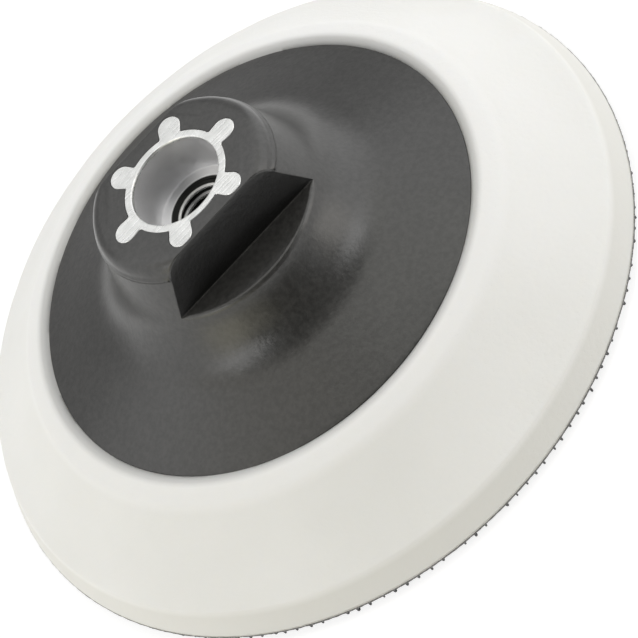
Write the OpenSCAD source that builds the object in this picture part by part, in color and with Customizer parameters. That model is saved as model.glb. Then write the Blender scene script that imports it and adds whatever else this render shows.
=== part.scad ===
// Hook-faced backing pad for a rotary sander or polisher.
// Origin: centre of the hook face. +Z runs up the spindle axis, out of the hub. Millimetres.

/* [Overall] */
// Diameter of the foam's lower edge and of the hook tape
pad_d = 150; // [140:1:160]
// Height from the hook tips to the top of the hub
overall_h = 50; // [48:0.5:56]

/* [Hook tape] */
// Height of the hook pile under the ground fabric
pile_h = 1.8; // [1.2:0.1:2.4]
// Thickness of the woven ground fabric
ground_t = 0.4; // [0.3:0.1:0.8]
// Thickness of the adhesive film that bonds the tape to the foam
film_t = 0.2; // [0.1:0.1:0.4]
// How far the ends of the outermost hooks stay inside the tape's edge
pile_inset = 0.4; // [0.2:0.1:2]

/* [Foam body] */
// Diameter at the crease above the lower bevel
crease_d = 144.8; // [136:0.1:148]
// Height of that crease
crease_z = 8; // [6:0.5:11]
// Diameter of the shoulder where the flank meets the top ring
shoulder_d = 111; // [108:0.5:120]
// Height of the shoulder
shoulder_z = 20.4; // [18:0.2:21]
// How far the flank's arc sinks below a straight line
flank_sag = 0.6; // [0.1:0.1:2]
// Diameter of the rounded lip that the foam forms around the hub
lip_d = 103.2; // [102:0.2:106]
// Height of that lip's crest
lip_z = 21.8; // [21:0.1:23]

/* [Hub] */
// Diameter of the hub's rim
hub_d = 98.8; // [96:0.2:100]
// Height of the hub's rim
rim_z = 21.3; // [20:0.1:22]
// Height of the hub's flat underside
hub_base_z = 17.5; // [16:0.1:18.5]
// Slope of the flared skirt, in degrees
flare_angle = 18.5; // [16:0.5:20]
// Diameter that the boss's drafted side would have at the height of the top face
boss_top_d = 38.9; // [37:0.1:41]
// Draft of the boss's side, in degrees
boss_draft = 19; // [16:0.5:20]
// Radius of the cove between skirt and boss
cove_r = 17; // [12:0.5:20]
// Radius of the boss's top edge
boss_edge_r = 3; // [1:0.1:4]
// Width across the two spanner flats
flats_w = 29.8; // [29.4:0.1:34]
// Height of the ledge under each spanner flat
ledge_z = 37.6; // [36:0.1:40]
// Wall of the skirt over the cored underside
skirt_wall = 3.2; // [2.5:0.1:3.6]
// Number of radial ribs under the skirt
rib_n = 12; // [6:1:18]
// Thickness of each rib
rib_t = 2.4; // [1.5:0.1:3]

/* [Bush] */
// Minor diameter of the spindle thread
thread_minor_d = 11.84; // [11.8:0.01:12]
// Diameter where the thread's lead-in countersink starts
lead_in_d = 15.4; // [14.2:0.1:16]
// Included angle of the lead-in countersink
lead_in_angle = 120; // [90:1:120]
// Diameter of the counterbore that takes the spindle's collar
counterbore_d = 19.6; // [18:0.1:20.4]
// Depth of the counterbore
counterbore_h = 10.6; // [8:0.1:12]
// Outside diameter of the bush's round body
bush_d = 23.1; // [22:0.1:24]
// Height of the bush's lower end
bush_base_z = 22; // [21:0.5:26]
// Number of keying lobes around the bush
lobe_n = 6; // [4:1:6]
// Distance from the axis to the centre of a lobe's round head
lobe_r = 13.5; // [13:0.1:13.8]
// Diameter of a lobe's head
lobe_d = 5.2; // [4:0.1:5.4]
// Width of a lobe's neck
neck_w = 4.9; // [3:0.1:5.2]
// Diameter of the flange that locks the bush in the moulding
flange_d = 34; // [33:0.5:35]
// Thickness of that flange
flange_t = 2.5; // [1.5:0.1:3.5]
// Chamfer at the mouth of the counterbore
mouth_chamfer = 0.3; // [0.1:0.1:0.6]

/* [Stiffener disc] */
// Diameter of the laminate disc
disc_d = 93; // [86:0.5:95]
// Thickness of the laminate disc
disc_t = 1.6; // [1:0.1:2.5]

/* [Hidden] */
$fn = 96;

ground_z = pile_h;
film_z = ground_z + ground_t;
foam_z = film_z + film_t;
disc_z = hub_base_z - disc_t;
hub_r = hub_d / 2;
shoulder_r = shoulder_d / 2;
counterbore_z = overall_h - counterbore_h;
lead_in_h = (lead_in_d - thread_minor_d) / 2 / tan(lead_in_angle / 2);
boss_tube_r = lobe_r + lobe_d / 2 + 3.4;
rim_wall = 3.2;
over = 0.1;  // how far a cutting tool runs past the face it cuts

// Corner where the straight skirt and the straight boss side would meet
boss_lean = tan(boss_draft);
corner_z = (rim_z + (hub_r - boss_top_d / 2 - overall_h * boss_lean) * tan(flare_angle))
    / (1 - boss_lean * tan(flare_angle));
corner_r = boss_top_d / 2 + (overall_h - corner_z) * boss_lean;
cove_turn = 90 - boss_draft - flare_angle;
cove_reach = cove_r * tan(cove_turn / 2);
edge_reach = boss_edge_r * tan((90 - boss_draft) / 2);

// Points of an arc about a centre, from one angle to another
function arc(centre, r, from, to, n = 12) =
    [for (i = [0:n]) let (a = from + (to - from) * i / n) centre + r * [cos(a), sin(a)]];

// Points of a shallow arc from p to q that sinks below the chord by sag
function sagged(p, q, sag, n = 12) =
    [for (i = [0:n]) let (t = i / n) p + (q - p) * t - [0, 4 * sag * t * (1 - t)]];

// Centre of the cove: square to the skirt, one radius out from where the cove starts
cove_start = [corner_r + cove_reach * cos(flare_angle), corner_z - cove_reach * sin(flare_angle)];
cove_centre = cove_start + cove_r * [sin(flare_angle), cos(flare_angle)];
edge_centre = [boss_top_d / 2 - edge_reach, overall_h - boss_edge_r];

// The hub's outer profile, from the rim to the axis
hub_profile = concat(
    [[0, hub_base_z], [hub_r, hub_base_z], [hub_r, rim_z]],
    arc(cove_centre, cove_r, 270 - flare_angle, 180 + boss_draft),
    arc(edge_centre, boss_edge_r, boss_draft, 90),
    [[0, overall_h]]);

// Round body, keying lobes and locking flange of the bush, without its bore.
// The lobes start inside the flange and inside the wall, so that no faces coincide.
module bush_envelope() {
    lobe_z = bush_base_z + flange_t / 2;
    root_r = (thread_minor_d + bush_d) / 4;
    translate([0, 0, bush_base_z]) cylinder(d = bush_d, h = overall_h - bush_base_z);
    translate([0, 0, bush_base_z]) cylinder(d = flange_d, h = flange_t);
    for (i = [0:lobe_n - 1])
        rotate([0, 0, i * 360 / lobe_n]) translate([0, 0, lobe_z]) {
            translate([lobe_r, 0, 0]) cylinder(d = lobe_d, h = overall_h - lobe_z);
            translate([root_r, -neck_w / 2, 0])
                cube([lobe_r - root_r, neck_w, overall_h - lobe_z]);
        }
}

// Everything that is cut out of the bush: thread bore, lead-in, counterbore and its chamfered mouth
module bush_bore() {
    thread_r = thread_minor_d / 2;
    collar_r = counterbore_d / 2;
    mouth_r = collar_r + mouth_chamfer;
    rotate_extrude() polygon([
        [0, bush_base_z - over], [thread_r, bush_base_z - over],
        [thread_r, counterbore_z - lead_in_h], [lead_in_d / 2, counterbore_z],
        [collar_r, counterbore_z], [collar_r, overall_h - mouth_chamfer],
        [mouth_r, overall_h], [mouth_r, overall_h + over], [0, overall_h + over]]);
}

// Metal bush with the spindle thread, drawn as a plain bore at the thread's minor diameter
module threaded_bush() {
    color("gainsboro") difference() {
        bush_envelope();
        bush_bore();
    }
}

// Space beside one spanner flat, above its ledge
module spanner_space() {
    translate([-hub_r, flats_w / 2, ledge_z]) cube([hub_d, hub_r, overall_h]);
}

// Ring-shaped hollow under the skirt, before the ribs divide it
module skirt_hollow() {
    inner_r = hub_r - rim_wall;
    roof = function (r) rim_z + (hub_r - r) * tan(flare_angle) - skirt_wall / cos(flare_angle);
    rotate_extrude() polygon([
        [boss_tube_r, hub_base_z - over], [inner_r, hub_base_z - over],
        [inner_r, roof(inner_r)], [boss_tube_r, roof(boss_tube_r)]]);
}

module ribs() {
    for (i = [0:rib_n - 1])
        rotate([0, 0, (i + 0.5) * 360 / rib_n])
            translate([boss_tube_r - 1, -rib_t / 2, hub_base_z])
                cube([hub_r - boss_tube_r, rib_t, overall_h - hub_base_z]);
}

// Moulded hub: flared skirt, boss with two spanner flats, ribbed underside
module hub_dome() {
    color("dimgray") difference() {
        rotate_extrude() polygon(hub_profile);
        bush_envelope();
        spanner_space();
        mirror([0, 1, 0]) spanner_space();
        difference() {
            skirt_hollow();
            ribs();
        }
    }
}

// Laminate disc that closes the hub's ribbed underside
module stiffener_disc() {
    color("tan") translate([0, 0, disc_z]) cylinder(d = disc_d, h = disc_t);
}

// Moulded foam: bevel, concave flank, top ring and the lip around the hub's rim
module foam_body() {
    color("whitesmoke") rotate_extrude() polygon(concat(
        [[0, foam_z], [pad_d / 2, foam_z]],
        sagged([crease_d / 2, crease_z], [shoulder_r, shoulder_z], flank_sag),
        [[lip_d / 2, lip_z], [hub_r, rim_z], [hub_r, hub_base_z],
         [disc_d / 2, hub_base_z], [disc_d / 2, disc_z], [0, disc_z]]));
}

module adhesive_film() {
    color("darkkhaki") translate([0, 0, film_z]) cylinder(d = pad_d, h = film_t);
}

module hook_ground_fabric() {
    color("black") translate([0, 0, ground_z]) cylinder(d = pad_d, h = ground_t);
}

// The hook pile as one plain disc, as deep as the hooks are tall
module hook_pile() {
    color("darkslategray") cylinder(d = pad_d - 2 * pile_inset, h = pile_h);
}

threaded_bush();
hub_dome();
stiffener_disc();
foam_body();
adhesive_film();
hook_ground_fabric();
hook_pile();
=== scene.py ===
"""The looks of the hook-faced backing pad: moulded foam, charcoal hub, threaded bush and hook tape.

Lengths in the shape functions are millimetres, as in the CAD model, and become metres when a mesh is
made. Outlines are lists of (radius, height) or (x, y), turned or lofted into closed meshes.
"""
import math
import random

import bmesh
import bpy
import numpy as np
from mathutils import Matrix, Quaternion, Vector, noise


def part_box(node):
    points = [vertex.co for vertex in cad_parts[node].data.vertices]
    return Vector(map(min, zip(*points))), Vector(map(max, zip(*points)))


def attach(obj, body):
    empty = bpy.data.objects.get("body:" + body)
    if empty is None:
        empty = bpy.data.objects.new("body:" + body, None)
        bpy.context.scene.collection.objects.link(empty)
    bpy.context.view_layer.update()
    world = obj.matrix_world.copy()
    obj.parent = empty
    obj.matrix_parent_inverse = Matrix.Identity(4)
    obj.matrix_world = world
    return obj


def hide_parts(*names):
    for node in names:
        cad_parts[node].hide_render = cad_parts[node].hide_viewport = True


MM = 0.001
CUT_MERGE = 1.5e-5  # metres; points that a cut leaves closer than this become one

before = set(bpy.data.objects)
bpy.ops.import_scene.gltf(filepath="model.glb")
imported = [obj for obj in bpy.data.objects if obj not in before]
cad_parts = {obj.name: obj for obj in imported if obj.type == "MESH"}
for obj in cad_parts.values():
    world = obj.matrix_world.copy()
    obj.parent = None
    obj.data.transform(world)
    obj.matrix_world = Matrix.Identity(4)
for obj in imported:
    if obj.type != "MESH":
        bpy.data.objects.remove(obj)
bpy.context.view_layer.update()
rng = random.Random(7)


def extent(node):
    """Outer radius, lowest and highest z of a CAD node, in millimetres."""
    low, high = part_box(node)
    return high.x / MM, low.z / MM, high.z / MM


PAD_R, FOAM_Z = extent("foam_body")[:2]
HUB_R, HUB_BASE_Z, TOP_Z = extent("hub_dome")
GROUND_R, GROUND_Z, GROUND_TOP = extent("hook_ground_fabric")
DISC_R, DISC_Z = extent("stiffener_disc")[:2]
BUSH_Z = extent("threaded_bush")[1]

BORE_R = 9.8
MOUTH_CHAMFER = 0.3
COUNTERBORE_Z = TOP_Z - 10.6
LEAD_IN_R, LEAD_IN_ANGLE = 7.7, 120
MINOR_R, MAJOR_R, PITCH = 5.92, 7.0, 2.0  # M14 x 2, right-hand
THREAD_PHASE = 0.81  # turns
FINE_RINGS, COARSE_RINGS = 40, 12  # rings of mesh in each pitch
FINE_PITCHES = 3  # pitches below the counterbore that can be looked into
BUSH_R = 11.55
FLANGE_R, FLANGE_T = 17.0, 2.5
LOBES = 6
HEAD_AT, HEAD_R, NECK_HALF = 13.5, 2.62, 2.40
HEAD_WRAP = 101  # degrees of the round head on each side of its tip
RIM_PAINTED_SHADE = 2.8  # width of the painted shade on the skin beside the hub's rim

# ---------------------------------------------------------------- outlines


def bend(start, corner, end, steps):
    """Points of a smooth bend from start to end that heads for corner."""
    t = np.linspace(0, 1, steps + 1)[:, None]
    start, corner, end = (np.asarray(p, float) for p in (start, corner, end))
    return (1 - t) ** 2 * start + 2 * t * (1 - t) * corner + t**2 * end


def rounded(points, steps=6):
    """An outline with its corners rounded. Each point is (a, b, setback); setback 0 leaves it sharp."""
    made = []
    for i, (a, b, setback) in enumerate(points):
        corner = np.array([a, b], float)
        if not setback:
            made.append(corner)
            continue
        back = np.array(points[i - 1][:2], float) - corner
        on = np.array(points[(i + 1) % len(points)][:2], float) - corner
        start = corner + back * (setback / np.linalg.norm(back))
        end = corner + on * (setback / np.linalg.norm(on))
        made.extend(bend(start, corner, end, steps))
    return np.array(made)


def arc(centre, radius, start, end, steps):
    """Points of an arc, with its angles in degrees."""
    a = np.radians(np.linspace(start, end, steps + 1))
    return np.asarray(centre) + radius * np.stack([np.cos(a), np.sin(a)], 1)


def spaced(line, steps):
    """The same line as steps + 1 points at even distances."""
    along = np.concatenate([[0], np.cumsum(np.linalg.norm(np.diff(line, axis=0), axis=1))])
    at = np.linspace(0, along[-1], steps + 1)
    return np.stack([np.interp(at, along, line[:, k]) for k in (0, 1)], 1)


# ---------------------------------------------------------------- meshes


def cleaned(mesh, distance):
    """Merges points closer than distance, in metres, drops faces left without area and turns all outwards."""
    work = bmesh.new()
    work.from_mesh(mesh)
    bmesh.ops.remove_doubles(work, verts=work.verts, dist=distance)
    bmesh.ops.dissolve_degenerate(work, edges=work.edges, dist=distance / 10)
    bmesh.ops.recalc_face_normals(work, faces=work.faces)
    work.to_mesh(mesh)
    work.free()


def mesh_object(name, verts, faces, material):
    """A closed mesh from points in millimetres, with doubled points merged."""
    mesh = bpy.data.meshes.new(name)
    mesh.from_pydata((np.asarray(verts) * MM).tolist(), [], faces)
    cleaned(mesh, 1e-7)
    mesh.materials.append(material)
    made = bpy.data.objects.new(name, mesh)
    bpy.context.scene.collection.objects.link(made)
    return made


def shade(piece, sharp_deg=32):
    """Smooth shading, with edges sharper than sharp_deg kept sharp."""
    piece.data.shade_smooth()
    piece.data.set_sharp_from_angle(angle=math.radians(sharp_deg))


def grid_faces(rows, columns, close_rows):
    """Quads of a grid whose columns wrap round. close_rows joins the last row to the first."""
    faces = []
    for i in range(rows if close_rows else rows - 1):
        a, b = i * columns, (i + 1) % rows * columns
        for j in range(columns):
            k = (j + 1) % columns
            faces.append((a + j, a + k, b + k, b + j))
    return faces


def turned(name, outline, columns, material, shift=None):
    """A solid of revolution. shift(point) may move each point a little, for the unevenness of real ones."""
    angles = np.linspace(0, 2 * math.pi, columns, endpoint=False)
    verts = [(r * math.cos(a), r * math.sin(a), z) for r, z in outline for a in angles]
    if shift:
        verts = [shift(Vector(v)) for v in verts]
    return mesh_object(name, verts, grid_faces(len(outline), columns, True), material)


def cut(piece, cutter):
    """Cuts cutter out of piece and removes cutter."""
    step = piece.modifiers.new("cut", "BOOLEAN")
    step.operation, step.solver, step.object = "DIFFERENCE", "EXACT", cutter
    graph = bpy.context.evaluated_depsgraph_get()
    made = bpy.data.meshes.new_from_object(piece.evaluated_get(graph))
    piece.modifiers.clear()
    cleaned(made, CUT_MERGE)
    piece.data = made
    bpy.data.objects.remove(cutter)


def finish_piece(piece, node, sharp_deg=32):
    """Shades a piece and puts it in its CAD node's place."""
    shade(piece, sharp_deg)
    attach(piece, "root")
    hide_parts(node)
    return piece


# ---------------------------------------------------------------- materials


class Shader:
    """A procedural material: a Principled node and a few helpers that feed it."""

    def __init__(self, name, **values):
        self.material = bpy.data.materials.new(name)
        self.material.use_nodes = True
        self.tree = self.material.node_tree
        self.principled = self.tree.nodes["Principled BSDF"]
        for socket, value in values.items():
            self.principled.inputs[socket.replace("_", " ")].default_value = value
        self.coordinates = self.node("TexCoord")
        self.place = self.coordinates.outputs["Object"]

    def node(self, kind, **settings):
        made = self.tree.nodes.new("ShaderNode" + kind)
        for key, value in settings.items():
            setattr(made, key, value)
        return made

    def link(self, source, target):
        self.tree.links.new(source, target)

    def noise(self, scale, detail=3.0, roughness=0.5, stretch=None):
        """Noise in the object's own space. scale is cells per metre."""
        made = self.node("TexNoise")
        made.inputs["Scale"].default_value = scale
        made.inputs["Detail"].default_value = detail
        made.inputs["Roughness"].default_value = roughness
        self.link(self.stretched(stretch) if stretch else self.place, made.inputs["Vector"])
        return made.outputs["Fac"]

    def radius(self):
        """Distance from the pad's axis, in metres."""
        return self.length_of(self.stretched((1, 1, 0)))

    def length_of(self, vector):
        made = self.node("VectorMath", operation="LENGTH")
        self.link(vector, made.inputs[0])
        return made.outputs["Value"]

    def cells(self, scale):
        """Distance to the nearest of scattered points. scale is cells per metre."""
        made = self.node("TexVoronoi")
        made.inputs["Scale"].default_value = scale
        self.link(self.place, made.inputs["Vector"])
        return made.outputs["Distance"]

    def stretched(self, factors):
        made = self.node("Mapping")
        made.inputs["Scale"].default_value = factors
        self.link(self.place, made.inputs["Vector"])
        return made.outputs["Vector"]

    def remap(self, value, low, high, new_low, new_high):
        made = self.node("MapRange")
        self.link(value, made.inputs["Value"])
        for socket, number in (("From Min", low), ("From Max", high),
                               ("To Min", new_low), ("To Max", new_high)):
            made.inputs[socket].default_value = number
        return made.outputs["Result"]

    def mix(self, factor, first, second):
        """A colour between two colours, each four numbers or a socket."""
        made = self.node("Mix", data_type="RGBA")
        self.link(factor, made.inputs["Factor"])
        for socket, colour in ((made.inputs[6], first), (made.inputs[7], second)):
            if isinstance(colour, tuple):
                socket.default_value = colour
            else:
                self.link(colour, socket)
        return made.outputs[2]

    def colour(self, source):
        self.link(source, self.principled.inputs["Base Color"])

    def roughness(self, source):
        self.link(source, self.principled.inputs["Roughness"])

    def bump(self, *layers):
        """Bumps, each (height socket, depth in metres), laid over each other."""
        normal = None
        for height, depth in layers:
            made = self.node("Bump")
            made.inputs["Distance"].default_value = depth
            self.link(height, made.inputs["Height"])
            if normal:
                self.link(normal, made.inputs["Normal"])
            normal = made.outputs["Normal"]
        self.link(normal, self.principled.inputs["Normal"])


def foam_material():
    """Off-white moulded foam skin: faint clouds of colour, fine orange peel and pin-prick pits, with painted
    shade beside the hub's rim and on the bevel, and a painted lighter tone on the lip.
    """
    s = Shader("foam_skin", Roughness=0.55, Subsurface_Weight=0.12, Subsurface_Scale=0.002)
    s.principled.inputs["Subsurface Radius"].default_value = (1.0, 0.9, 0.75)
    s.principled.inputs["Specular IOR Level"].default_value = 0.4
    clouds = s.remap(s.noise(28, 3), 0.35, 0.65, 0, 1)
    skin = s.mix(clouds, (0.89, 0.89, 0.868, 1), (0.93, 0.93, 0.912, 1))
    out_of_painted_rim_shade = s.remap(s.radius(), HUB_R * MM, (HUB_R + RIM_PAINTED_SHADE) * MM, 0, 1)
    # Painted light: the lip and the ring inside the shoulder are coloured lighter, as their flatter tops
    # catch more light.
    off_painted_lip_light = s.remap(s.radius(), (SHOULDER[0] - 0.5) * MM, (SHOULDER[0] + 1.5) * MM, 0, 1)
    skin = s.mix(off_painted_lip_light, (0.96, 0.96, 0.95, 1), skin)
    # Painted shade: the bevel below the crease is coloured a darker warm grey, as it faces the dark front.
    on_painted_bevel_shade = s.remap(s.radius(), (CREASE[0] - 0.2) * MM, (CREASE[0] + 0.6) * MM, 0, 1)
    skin = s.mix(on_painted_bevel_shade, skin, (0.79, 0.785, 0.75, 1))
    # Painted shade: the skin turns grey close to the hub's rim, in place of the shade in the groove between
    # foam and hub.
    s.colour(s.mix(out_of_painted_rim_shade, (0.55, 0.55, 0.54, 1), skin))
    s.roughness(s.remap(s.noise(350, 2), 0.3, 0.7, 0.48, 0.62))
    pits = s.remap(s.cells(1400), 0.0, 0.22, 0, 1)
    s.bump((s.noise(900, 3), 0.00006), (pits, 0.00003))
    return s.material


def plastic_material():
    """Charcoal moulded plastic: satin, with cloudy gloss and the faint speckle of filled nylon; the walls of
    the spanner flats carry painted shade in near black.
    """
    s = Shader("hub_plastic", Roughness=0.42)
    s.principled.inputs["Specular IOR Level"].default_value = 0.85
    speckle = s.remap(s.noise(900, 4, 0.65), 0.38, 0.62, 0, 1)
    plastic = s.mix(speckle, (0.024, 0.0237, 0.0228, 1), (0.040, 0.0395, 0.038, 1))
    # Painted shade: faces turned squarely to +Y or -Y, the walls of the spanner flats, are coloured near
    # black, as they face the dark front.
    facing = s.node("SeparateXYZ")
    s.link(s.coordinates.outputs["Normal"], facing.inputs["Vector"])
    upright = s.node("Math", operation="ABSOLUTE")
    s.link(facing.outputs["Y"], upright.inputs[0])
    on_painted_shade_wall = s.remap(upright.outputs["Value"], 0.97, 0.995, 0, 1)
    s.colour(s.mix(on_painted_shade_wall, plastic, (0.004, 0.004, 0.004, 1)))
    s.roughness(s.remap(s.noise(95, 4), 0.3, 0.7, 0.28, 0.35))
    s.bump((s.noise(1300, 3), 0.000035), (s.noise(220, 2), 0.00004))
    return s.material


def metal_material():
    """Bright turned metal, scratched on top, dull in the bore; the thread carries painted shade in near
    black, with painted highlights along its crests.
    """
    s = Shader("bush_metal", Metallic=1.0, Roughness=0.3)
    split = s.node("SeparateXYZ")
    s.link(s.place, split.inputs["Vector"])
    radius = s.radius()
    rings = s.node("TexNoise", noise_dimensions="1D")
    rings.inputs["Scale"].default_value = 5200
    rings.inputs["Detail"].default_value = 3
    s.link(radius, rings.inputs["W"])
    scratches = s.noise(160, 4, 0.6, stretch=(1, 14, 14))
    blotches = s.remap(s.noise(320, 3), 0.35, 0.65, 0, 1)
    top = s.mix(blotches, (0.80, 0.805, 0.79, 1), (0.94, 0.945, 0.93, 1))
    on_top = s.remap(split.outputs["Z"], (TOP_Z - 1.0) * MM, (TOP_Z - 0.6) * MM, 0, 1)
    floor_z = COUNTERBORE_Z * MM
    # Painted shade: below the counterbore's floor the thread is coloured near black, in place of the shade
    # deep in the bore.
    above_thread = s.remap(split.outputs["Z"], floor_z - 0.16 * MM, floor_z - 0.04 * MM, 0, 1)
    # Painted highlight: the thread's crests are coloured bright, in place of the light they catch.
    off_crest_highlight = s.remap(radius, (MINOR_R + 0.35) * MM, (MINOR_R + 0.5) * MM, 0, 1)
    thread = s.mix(off_crest_highlight, (0.80, 0.80, 0.79, 1), (0.03, 0.03, 0.029, 1))
    s.colour(s.mix(on_top, s.mix(above_thread, thread, (0.83, 0.83, 0.84, 1)), top))
    cloudy = s.remap(s.noise(240, 3), 0.3, 0.7, 0.48, 0.62)
    s.roughness(s.mix(on_top, cloudy, s.remap(scratches, 0.4, 0.6, 0.24, 0.46)))
    s.bump((rings.outputs["Fac"], 0.000012), (scratches, 0.00004))
    return s.material


def laminate_material():
    """Glass fibre laminate: crossed bundles of fibre under amber resin."""
    s = Shader("disc_laminate", Roughness=0.5)
    along = s.noise(260, 3, 0.5, stretch=(8, 1, 1))
    across = s.noise(260, 3, 0.5, stretch=(1, 8, 1))
    fibres = s.node("Math", operation="MAXIMUM")
    s.link(along, fibres.inputs[0])
    s.link(across, fibres.inputs[1])
    fibre = s.remap(fibres.outputs["Value"], 0.45, 0.7, 0, 1)
    s.colour(s.mix(fibre, (0.36, 0.29, 0.15, 1), (0.62, 0.55, 0.38, 1)))
    s.bump((fibre, 0.00008))
    return s.material


def film_material():
    """Thin yellowish film of adhesive, with small bubbles and streaks."""
    s = Shader("film_adhesive", Roughness=0.35)
    streaks = s.remap(s.noise(400, 3), 0.35, 0.65, 0, 1)
    s.colour(s.mix(streaks, (0.60, 0.59, 0.55, 1), (0.72, 0.71, 0.67, 1)))
    s.bump((s.cells(1800), 0.00003))
    return s.material


def weave_material():
    """Tight black plain weave: two crossed sets of threads, with fuzz."""
    s = Shader("tape_ground", Roughness=0.8)
    s.principled.inputs["Sheen Weight"].default_value = 0.3
    waves = []
    for direction in ("X", "Y"):
        wave = s.node("TexWave", bands_direction=direction)
        wave.inputs["Scale"].default_value = 700
        wave.inputs["Distortion"].default_value = 0.6
        s.link(s.place, wave.inputs["Vector"])
        waves.append(wave.outputs["Fac"])
    weave = s.node("Math", operation="MULTIPLY")
    s.link(waves[0], weave.inputs[0])
    s.link(waves[1], weave.inputs[1])
    s.colour(s.mix(weave.outputs["Value"], (0.12, 0.12, 0.117, 1), (0.30, 0.30, 0.295, 1)))
    s.bump((weave.outputs["Value"], 0.00012), (s.noise(2600, 3), 0.00004))
    return s.material


def filament_material():
    """Black nylon monofilament, glossy, a little duller where it is drawn and cut."""
    s = Shader("tape_hooks", Roughness=0.32)
    s.colour(s.mix(s.noise(1500, 2), (0.015, 0.015, 0.015, 1), (0.05, 0.049, 0.047, 1)))
    s.roughness(s.remap(s.noise(2200, 2), 0.3, 0.7, 0.24, 0.45))
    s.bump((s.noise(4200, 2, stretch=(1, 1, 0.2)), 0.00001))
    return s.material


# ---------------------------------------------------------------- foam body

CREASE = (72.4, 8.0)
SHOULDER = (55.5, 20.4)
FLANK_SAG = 0.6
LIP = (51.9, 22.0)  # outer corner of the raised lip
LIP_INNER = (50.6, 21.85)  # inner corner, above the hub's rim
ROOT_Z = 21.15  # where the lip's inner side meets the hub's rim
GAP = 0.02  # keeps bonded faces from lying in each other


def sagged(start, end, sag, steps):
    """A shallow arc that sinks below the straight line."""
    t = np.linspace(0, 1, steps + 1)[:, None]
    return np.array(start) + (np.array(end) - start) * t - np.array([0, 4 * sag]) * t * (1 - t)


def foam_outline():
    flank = sagged(CREASE, SHOULDER, FLANK_SAG, 14)[1:-1]
    corners = [(PAD_R, FOAM_Z, 0.25), (*CREASE, 0.35)]
    corners += [(r, z, 0) for r, z in flank]
    corners += [(*SHOULDER, 0.7), (*LIP, 1.0), (*LIP_INNER, 0.6), (HUB_R + GAP, ROOT_Z, 0)]
    corners += [(HUB_R + GAP, HUB_BASE_Z, 0), (DISC_R + GAP, HUB_BASE_Z, 0)]
    corners += [(DISC_R + GAP, DISC_Z - GAP, 0), (0, DISC_Z - GAP, 0), (0, FOAM_Z, 0)]
    return rounded(corners)


def foam_shift(point):
    """The slight unevenness of a moulding that can give: long soft waves, none on the bonded faces."""
    if point.z < FOAM_Z + 0.3 or math.hypot(point.x, point.y) < HUB_R + 0.5:
        return point
    waves = noise.noise(point / 14) * 0.10 + noise.noise(point / 5 + Vector((9, 0, 0))) * 0.03
    return point + Vector((point.x, point.y, 60)).normalized() * waves


def foam():
    piece = turned("foam_pad", foam_outline(), 480, foam_material(), foam_shift)
    return finish_piece(piece, "foam_body", 60)


# ---------------------------------------------------------------- bush

def lobed_outline(grow=0.0):
    """The bush from above: a ring with round-headed lobes, first one at +X."""
    neck_x = math.sqrt(BUSH_R**2 - NECK_HALF**2)
    neck_deg = math.degrees(math.asin(NECK_HALF / BUSH_R))
    gap_deg = 360 / LOBES - 2 * neck_deg
    head = [(x, y, 0) for x, y in arc((HEAD_AT, 0), HEAD_R, -HEAD_WRAP, HEAD_WRAP, 16)]
    lobe = [(neck_x, -NECK_HALF, 0.4), *head, (neck_x, NECK_HALF, 0.4)]
    ring = [(*p, 0) for p in arc((0, 0), BUSH_R, neck_deg + 3, neck_deg + gap_deg - 3, 12)]
    corners = []
    for i in range(LOBES):
        a = math.radians(360 / LOBES * i)
        for x, y, setback in lobe + ring:
            turned_x, turned_y = x * math.cos(a) - y * math.sin(a), x * math.sin(a) + y * math.cos(a)
            corners.append((turned_x, turned_y, setback))
    outline = rounded(corners, 7)
    if grow:
        ahead = np.roll(outline, -1, 0) - np.roll(outline, 1, 0)
        out = np.stack([ahead[:, 1], -ahead[:, 0]], 1)
        outline = outline + grow * out / np.linalg.norm(out, axis=1)[:, None]
    return outline


def thread_r(turns):
    """Radius of the thread's wall, where turns counts pitches up from a crest's middle.

    The standard metric profile: a flat root an eighth of a pitch wide and a flat crest a quarter wide.
    """
    from_root = abs(turns % 1 - 0.5)
    return float(np.interp(from_root, [1 / 16, 0.375], [MAJOR_R, MINOR_R]))


def thread_rows(angles):
    """Level rings of the threaded wall, from under the counterbore's floor down to the bush's end."""
    slope = math.tan(math.radians(LEAD_IN_ANGLE / 2))
    fine_end = COUNTERBORE_Z - FINE_PITCHES * PITCH
    fine = np.arange(COUNTERBORE_Z - PITCH / FINE_RINGS, fine_end, -PITCH / FINE_RINGS)
    heights = [*fine, *np.arange(fine_end, BUSH_Z + 0.05, -PITCH / COARSE_RINGS), BUSH_Z]
    rows = []
    for z in heights:
        lead_in = LEAD_IN_R - (COUNTERBORE_Z - z) * slope
        row = []
        for a in angles:
            r = max(thread_r((z - BUSH_Z) / PITCH - THREAD_PHASE - a / (2 * math.pi)), lead_in)
            row.append((r * math.cos(a), r * math.sin(a), z))
        rows.append(row)
    return rows


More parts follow.
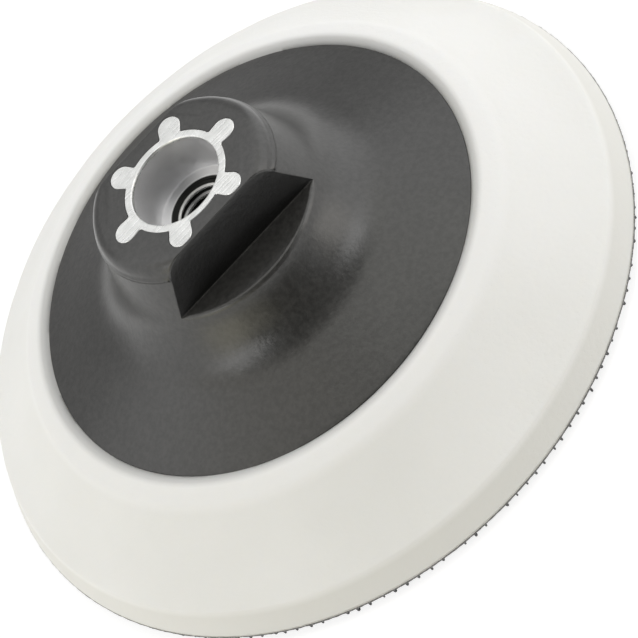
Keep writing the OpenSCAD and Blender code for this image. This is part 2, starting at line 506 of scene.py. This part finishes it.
def bush():
    outline = lobed_outline()
    angles = np.unwrap(np.arctan2(outline[:, 1], outline[:, 0]))
    inner = lobed_outline(-0.16)

    def ring(r, z):
        return [(r * math.cos(a), r * math.sin(a), z) for a in angles]

    def lobed(line, z):
        return [(x, y, z) for x, y in line]

    rows = [ring(FLANGE_R - 0.3, BUSH_Z), ring(FLANGE_R, BUSH_Z + 0.3)]
    rows += [ring(FLANGE_R, BUSH_Z + FLANGE_T), lobed(outline, BUSH_Z + FLANGE_T)]
    rows += [lobed(outline, TOP_Z - 0.16), lobed((outline + inner) / 2, TOP_Z - 0.05)]
    rows.append(lobed(inner, TOP_Z))
    rows += [ring(r, z) for r, z in rounded([
        (BORE_R + MOUTH_CHAMFER + 0.2, TOP_Z, 0), (BORE_R + MOUTH_CHAMFER / 2, TOP_Z, 0.14),
        (BORE_R, TOP_Z - 0.35, 0.2), (BORE_R, TOP_Z - 3, 0), (BORE_R, COUNTERBORE_Z, 0.4),
        (BORE_R - 1, COUNTERBORE_Z, 0), (LEAD_IN_R, COUNTERBORE_Z, 0)], 4)]
    rows += thread_rows(angles)
    verts = [p for row in rows for p in row]
    faces = grid_faces(len(rows), len(angles), True)
    piece = mesh_object("spindle_bush", verts, faces, metal_material())
    return finish_piece(piece, "threaded_bush", 28)


# ---------------------------------------------------------------- hub

RIM_Z = 21.3
FLARE = math.radians(18.5)
DRAFT = math.radians(19)
BOSS_TOP_R = 19.45
COVE_R = 17.0
EDGE_R = 3.0
FLAT_Y = 14.9
LEDGE_Z = 37.6
LEDGE_ROUND, ROOT_ROUND = 0.8, 0.3  # roundings of the ledge's outer edge and of the wall's foot
PARTING_Z = 46.9  # the fine raised line where the mould's halves met
SKIRT_WALL, RIM_WALL = 3.2, 3.2
RIBS, RIB_T = 12, 2.4
TUBE_R = 19.5


def cone_r(z):
    """Radius of the boss's drafted side."""
    return BOSS_TOP_R + (TOP_Z - z) * math.tan(DRAFT)


def skirt_line():
    """Outer profile from the buried rim to the height of the ledge."""
    lean = math.tan(DRAFT)
    rise = math.tan(FLARE)
    corner_z = (RIM_Z + (HUB_R - BOSS_TOP_R - TOP_Z * lean) * rise) / (1 - lean * rise)
    reach = COVE_R * math.tan((math.pi / 2 - DRAFT - FLARE) / 2)
    start = np.array([cone_r(corner_z) + reach * math.cos(FLARE), corner_z - reach * math.sin(FLARE)])
    centre = start + COVE_R * np.array([math.sin(FLARE), math.cos(FLARE)])
    rim = rounded([(HUB_R, HUB_BASE_Z, 0), (HUB_R, RIM_Z, 0.15), (*start, 0)], 5)[:-1]
    flare = np.linspace(rim[-1], start, 14)[1:-1]
    cove = arc(centre, COVE_R, 270 - math.degrees(FLARE), 180 + math.degrees(DRAFT), 22)
    return np.concatenate([rim, flare, cove])


def boss_line():
    """Outer profile of the boss from the ledge's height to the edge of the top face."""
    reach = EDGE_R * math.tan((math.pi / 2 - DRAFT) / 2)
    edge_centre = (BOSS_TOP_R - reach, TOP_Z - EDGE_R)
    bead = [(cone_r(PARTING_Z + dz) + out, PARTING_Z + dz)
            for dz, out in ((-0.4, 0), (-0.2, 0.2), (0, 0.27), (0.2, 0.2), (0.4, 0))]
    side = [(cone_r(z), z) for z in np.linspace(LEDGE_Z, PARTING_Z - 0.6, 24)]
    return np.concatenate([side, bead, arc(edge_centre, EDGE_R, math.degrees(DRAFT), 90, 14)])


SKIRT = skirt_line()
BOSS = boss_line()


def boss_inside(r_limit):
    """The part of the boss line that lies inside r_limit, from the point where it crosses it."""
    inside = np.flatnonzero(BOSS[:, 0] < r_limit)
    if not len(inside):
        return np.array([(r_limit, TOP_Z), (r_limit, TOP_Z)])
    outer, inner = BOSS[inside[0] - 1], BOSS[inside[0]]
    t = (outer[0] - r_limit) / (outer[0] - inner[0])
    return np.concatenate([[outer + (inner - outer) * t], BOSS[inside[0]:]])


def boss_column(angle):
    """Profile of the boss at one angle, with the ledge and wall of a spanner flat where it meets one.

    Every column has the same number of points, so that the columns join into one mesh. The roundings
    shrink to nothing where the ledge or the wall runs out.
    """
    foot = BOSS[0]
    flat_r = FLAT_Y / max(abs(math.sin(angle)), 1e-9)
    wall_r = min(flat_r, foot[0])
    width = foot[0] - wall_r
    rest = boss_inside(wall_r) if width else BOSS
    wall_foot, wall_top = np.array([wall_r, LEDGE_Z]), rest[0]
    outer_round = min(LEDGE_ROUND, 0.45 * width)
    root_round = min(ROOT_ROUND, 0.45 * width)
    fullness = min(1.0, math.hypot(*(rest[0] - rest[-1])) / 3)  # 0 where the wall reaches the top face
    top_round = min(0.18 + 0.4 * fullness, 0.45 * (wall_top[1] - LEDGE_Z))
    below = foot + np.array([math.sin(DRAFT), -math.cos(DRAFT)]) * outer_round
    body = spaced(rest, 200)
    length = np.linalg.norm(np.diff(body, axis=0), axis=1).sum()
    if length > top_round:
        upper = body[max(1, int(200 * top_round / length)):]
    else:
        upper = np.array([wall_top - [top_round, 0]] * 2)
    on_ledge, off_root = foot - [outer_round, 0], wall_foot + [root_round, 0]
    up_root, near_top = wall_foot + [0, root_round], wall_top - [0, top_round]
    return np.concatenate([
        bend(below, foot, on_ledge, 5), np.linspace(on_ledge, off_root, 5)[1:-1],
        bend(off_root, wall_foot, up_root, 5), np.linspace(up_root, near_top, 8)[1:-1],
        bend(near_top, wall_top, upper[0], 5), spaced(upper, 34)[1:]])


def core_pockets():
    """The hollows between the ribs under the skirt, each as (vertices, faces)."""
    inner_r, outer_r = TUBE_R, HUB_R - RIM_WALL

    def roof(r):
        return RIM_Z + (HUB_R - r) * math.tan(FLARE) - SKIRT_WALL / math.cos(FLARE)

    section = [(inner_r, HUB_BASE_Z - 1), (outer_r, HUB_BASE_Z - 1), (outer_r, roof(outer_r)),
               (inner_r, roof(inner_r))]
    steps = 8
    for i in range(RIBS):
        low, high = ((i + k + 0.5) * 2 * math.pi / RIBS for k in (0, 1))
        verts = []
        for k in range(steps + 1):
            for r, z in section:
                rib = math.asin(RIB_T / 2 / r)
                a = low + rib + (high - low - 2 * rib) * k / steps
                verts.append((r * math.cos(a), r * math.sin(a), z))
        faces = [(0, 1, 2, 3), tuple(4 * steps + k for k in (3, 2, 1, 0))]
        for k in range(steps):
            for m in range(4):
                n = (m + 1) % 4
                faces.append((4 * k + m, 4 * k + n, 4 * k + 4 + n, 4 * k + 4 + m))
        yield verts, faces


def prism(outline, low, high):
    """Upright prism over a flat outline, as (vertices, faces)."""
    n = len(outline)
    verts = [(x, y, z) for z in (low, high) for x, y in outline]
    faces = [tuple(reversed(range(n))), tuple(range(n, 2 * n))]
    faces += [(i, (i + 1) % n, n + (i + 1) % n, n + i) for i in range(n)]
    return verts, faces


def hub():
    corner_angle = math.asin(FLAT_Y / BOSS[0][0])
    angles = set(np.linspace(0, 2 * math.pi, 720, endpoint=False).tolist())
    for side in (0, math.pi):
        angles |= {side + corner_angle, side + math.pi - corner_angle}
    angles = sorted(angles)
    columns = [np.concatenate([[(0, HUB_BASE_Z)], SKIRT, boss_column(a)]) for a in angles]
    rows = len(columns[0])
    verts = [(columns[j][i][0] * math.cos(a), columns[j][i][0] * math.sin(a), columns[j][i][1])
             for i in range(rows) for j, a in enumerate(angles)]
    faces = grid_faces(rows, len(angles), False)
    faces.append(tuple((rows - 1) * len(angles) + j for j in range(len(angles))))
    material = plastic_material()
    piece = mesh_object("hub_shell", verts, faces, material)
    tools = list(core_pockets())
    tools.append(prism(lobed_outline(GAP), BUSH_Z + 1, TOP_Z + 1))
    round_flange = arc((0, 0), FLANGE_R + GAP, 0, 360, 180)[:-1]
    cut_verts, cut_faces = [], []
    for verts, faces in tools:
        start = len(cut_verts)
        cut_verts += verts
        cut_faces += [tuple(start + k for k in f) for f in faces]
    cut(piece, mesh_object("hub_tools", cut_verts, cut_faces, material))
    flange_tool = prism(round_flange, BUSH_Z - GAP, BUSH_Z + FLANGE_T + GAP)
    cut(piece, mesh_object("flange_tool", *flange_tool, material))
    return finish_piece(piece, "hub_dome", 40)


# ---------------------------------------------------------------- hook tape

HOOK_PITCH = 1.7
HOOK_WIRE_R = 0.23
HOOK_CURL_R = 0.15
HOOK_DROP = 1.15  # from the ground fabric to the middle of the curl
EDGE_PITCH = 2.7  # spacing of the row that follows the tape's cut edge
EDGE_ROW_IN = 0.3  # how far that row is in from the edge
EDGE_MISSING = 0.1  # share of that row lost in cutting
EDGE_BAND = 6.0  # hooks this near the tape's edge are made finer


def hook_path(steps):
    """Centre line of one hook in its own x and z: a stem that turns up again at its end."""
    stem = np.array([(0.0, 0.05), (0.0, -HOOK_DROP / 2)])
    curl = arc((HOOK_CURL_R, -HOOK_DROP), HOOK_CURL_R, 180, 385, steps)
    return np.concatenate([stem, curl])


def hook_template(sides, steps):
    """One hook as a tube: vertices, faces."""
    path = hook_path(steps)
    ahead = np.gradient(path, axis=0)
    ahead /= np.linalg.norm(ahead, axis=1)[:, None]
    verts = []
    for k, ((x, z), (dx, dz)) in enumerate(zip(path, ahead)):
        radius = HOOK_WIRE_R * (1.35 if k == 0 else 1.0 if k < len(path) - 1 else 0.7)
        for s in range(sides):
            a = 2 * math.pi * s / sides
            out = radius * math.cos(a)
            verts.append((x - dz * out, radius * math.sin(a), z + dx * out))
    rows = len(path)
    faces = grid_faces(rows, sides, False)
    faces.append(tuple(reversed(range(sides))))
    faces.append(tuple((rows - 1) * sides + s for s in range(sides)))
    return np.array(verts), faces


def hook_places():
    """Roots of the woven-in hooks: staggered rows, every row curling the other way from the last."""
    reach = int(GROUND_R / HOOK_PITCH) + 1
    for row in range(-reach, reach + 1):
        for k in range(-reach, reach + 1):
            x = (k + row % 2 / 2) * HOOK_PITCH + rng.uniform(-0.2, 0.2)
            y = row * HOOK_PITCH + rng.uniform(-0.12, 0.12)
            turn = (row % 2) * math.pi + rng.gauss(0, 0.22)
            size = rng.uniform(0.9, 1.04)
            lean = rng.gauss(0, 0.07)
            if math.hypot(x, y) < GROUND_R - 1.7:
                yield x, y, turn, size, lean
    row_r = GROUND_R - EDGE_ROW_IN
    count = round(2 * math.pi * row_r / EDGE_PITCH)
    for k in range(count):
        a = 2 * math.pi * (k + rng.uniform(-0.12, 0.12)) / count
        r = row_r - rng.uniform(0, 0.25)
        turn = a + math.pi + rng.gauss(0, 0.35)
        if rng.random() > EDGE_MISSING:
            yield r * math.cos(a), r * math.sin(a), turn, rng.uniform(0.92, 1.05), rng.gauss(0, 0.06)


def hook_field(name, places, sides, steps, material):
    template, faces = hook_template(sides, steps)
    verts, all_faces = [], []
    for n, (x, y, turn, size, lean) in enumerate(places):
        local = template * size
        leaned = local[:, 0] + lean * local[:, 2]
        verts.append(np.stack([
            x + leaned * math.cos(turn) - local[:, 1] * math.sin(turn),
            y + leaned * math.sin(turn) + local[:, 1] * math.cos(turn),
            GROUND_Z + local[:, 2]], 1))
        all_faces += [tuple(n * len(template) + k for k in f) for f in faces]
    piece = mesh_object(name, np.concatenate(verts), all_faces, material)
    return finish_piece(piece, "hook_pile", 60)


def hooks():
    material = filament_material()
    places = list(hook_places())
    near_edge = [p for p in places if math.hypot(p[0], p[1]) > GROUND_R - EDGE_BAND]
    inside = [p for p in places if math.hypot(p[0], p[1]) <= GROUND_R - EDGE_BAND]
    hook_field("hooks_at_edge", near_edge, 6, 9, material)
    hook_field("hooks_inside", inside, 3, 4, material)


def ground_fabric():
    """The woven ground, with the slight raggedness of a cut edge."""
    outline = rounded([(GROUND_R, GROUND_Z, 0.08), (GROUND_R, GROUND_TOP - GAP, 0.08),
                       (0, GROUND_TOP - GAP, 0), (0, GROUND_Z, 0)], 3)

    def ragged(point):
        if math.hypot(point.x, point.y) < GROUND_R - 1:
            return point
        fray = 0.10 * noise.noise(point * 1.3) + 0.08
        return point + Vector((point.x, point.y, 0)).normalized() * fray

    piece = turned("tape_ground_weave", outline, 1080, weave_material(), ragged)
    return finish_piece(piece, "hook_ground_fabric", 60)


# ---------------------------------------------------------------- stage, lights, camera


GLOW_FULL, GLOW_END = 0.15, 0.45  # the floor glows most inside the first radius, in metres


def floor():
    """A plain pale floor that keeps its brightness in the pad's own shadow."""
    mesh = bpy.data.meshes.new("floor")
    half = 20.0
    corners = [(-half, -half, 0), (half, -half, 0), (half, half, 0), (-half, half, 0)]
    mesh.from_pydata(corners, [], [(0, 1, 2, 3)])
    s = Shader("pale_floor", Roughness=0.9)
    s.principled.inputs["Base Color"].default_value = (0.35, 0.35, 0.35, 1)
    s.principled.inputs["Specular IOR Level"].default_value = 0
    s.principled.inputs["Emission Color"].default_value = (1, 1, 1, 1)
    glow = s.remap(s.length_of(s.place), GLOW_FULL, GLOW_END, 0.8, 0.45)
    glow.node.interpolation_type = "SMOOTHSTEP"
    s.link(glow, s.principled.inputs["Emission Strength"])
    mesh.materials.append(s.material)
    made = bpy.data.objects.new("floor", mesh)
    bpy.context.scene.collection.objects.link(made)


def panel(name, centre, facing, size, radiance, colour=(1, 1, 1)):
    """A large soft light panel of even brightness. Positions are metres."""
    data = bpy.data.lights.new(name, "AREA")
    data.shape, data.size, data.size_y = "RECTANGLE", size[0], size[1]
    data.energy = radiance * math.pi * size[0] * size[1]
    data.color = colour
    made = bpy.data.objects.new(name, data)
    made.location = centre
    made.rotation_mode = "QUATERNION"
    made.rotation_quaternion = Vector(facing).to_track_quat("-Z", "Y")
    made.visible_camera = False
    bpy.context.scene.collection.objects.link(made)


TENT_HALF = 1.7
TENT_HEIGHT = 1.5
WARM = (1.05, 1.0, 0.8)
# The strengths began as a brightness fit and were then rounded and adjusted.
# Roof panels: name, x from, x to, y from, y to, radiance, colour
ROOF = [
    ("roof_back", -1.7, 1.7, 0.5, 1.7, 1.15, (1, 1, 1)),
    ("roof_left", -1.7, 0, -0.1, 0.5, 0.9, (1.03, 1, 0.92)),
    ("roof_right", 0, 1.7, -0.1, 0.5, 1.3, (1, 1, 0.95)),
    ("roof_corner_left", -1.7, -0.9, -1.0, -0.15, 3.0, (1, 1, 1)),
    ("roof_corner_right", 0.9, 1.7, -1.0, -0.15, 2.8, (1, 1, 1)),
]
# Upright panels: name, middle x, middle y, width, radiance, colour. Each faces the pad's axis squarely.
SIDES = [
    ("left_back", -1.7, 0.6, 2.2, 1.0, (1, 1, 1)),
    ("left_front", -1.7, -1.1, 1.2, 1.5, WARM),
    ("right_back", 1.7, 0.6, 2.2, 1.3, (1, 1, 1)),
    ("right_front", 1.7, -1.1, 1.2, 2.0, (1.03, 1, 0.95)),
    ("back", 0, 1.7, 3.4, 0.4, (1, 1, 1)),
    ("front_left", -1.2, -1.7, 1.0, 0.6, WARM),
    ("front_right", 1.2, -1.7, 1.0, 0.5, (1, 1, 1)),
]


def lights():
    """A light tent, dark in front where the camera looks in."""
    world = bpy.data.worlds.new("studio")
    world.use_nodes = True
    world.node_tree.nodes["Background"].inputs["Color"].default_value = (1, 1, 1, 1)
    world.node_tree.nodes["Background"].inputs["Strength"].default_value = 0.02
    bpy.context.scene.world = world
    for name, x0, x1, y0, y1, radiance, colour in ROOF:
        middle = ((x0 + x1) / 2, (y0 + y1) / 2, TENT_HEIGHT)
        panel(name, middle, (0, 0, -1), (x1 - x0, y1 - y0), radiance, colour)
    for name, x, y, width, radiance, colour in SIDES:
        facing = (-x, 0, 0) if abs(x) == TENT_HALF else (0, -y, 0)
        panel(name, (x, y, TENT_HEIGHT / 2), facing, (width, TENT_HEIGHT), radiance, colour)


CAMERA_ELEVATION = 47.1
CAMERA_AZIMUTH = -0.4
CAMERA_DISTANCE = 0.517
CAMERA_AIM = (-0.0005, -0.0043, -0.0021)
CAMERA_ROLL = 47.0
CAMERA_LENS = 141.07


def camera():
    """The photograph's viewpoint: from above, with the pad's axis leaning to the upper left."""
    data = bpy.data.cameras.new("camera")
    data.lens, data.sensor_width = CAMERA_LENS, 36
    data.clip_start, data.clip_end = 0.01, 20
    made = bpy.data.objects.new("camera", data)
    a, e = math.radians(CAMERA_AZIMUTH), math.radians(CAMERA_ELEVATION)
    back = Vector((-math.sin(a) * math.cos(e), -math.cos(a) * math.cos(e), math.sin(e)))
    made.location = Vector(CAMERA_AIM) + back * CAMERA_DISTANCE
    made.rotation_mode = "QUATERNION"
    roll = Quaternion((0, 0, 1), -math.radians(CAMERA_ROLL))
    made.rotation_quaternion = (-back).to_track_quat("-Z", "Y") @ roll
    bpy.context.scene.collection.objects.link(made)
    bpy.context.scene.camera = made


def dress(node, material):
    """Gives a CAD node that stays as it is its own material."""
    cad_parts[node].data.materials.clear()
    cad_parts[node].data.materials.append(material)


camera()
lights()
floor()
foam()
bush()
hub()
ground_fabric()
hooks()
dress("stiffener_disc", laminate_material())
dress("adhesive_film", film_material())
bpy.context.scene.view_settings.view_transform = "Standard"
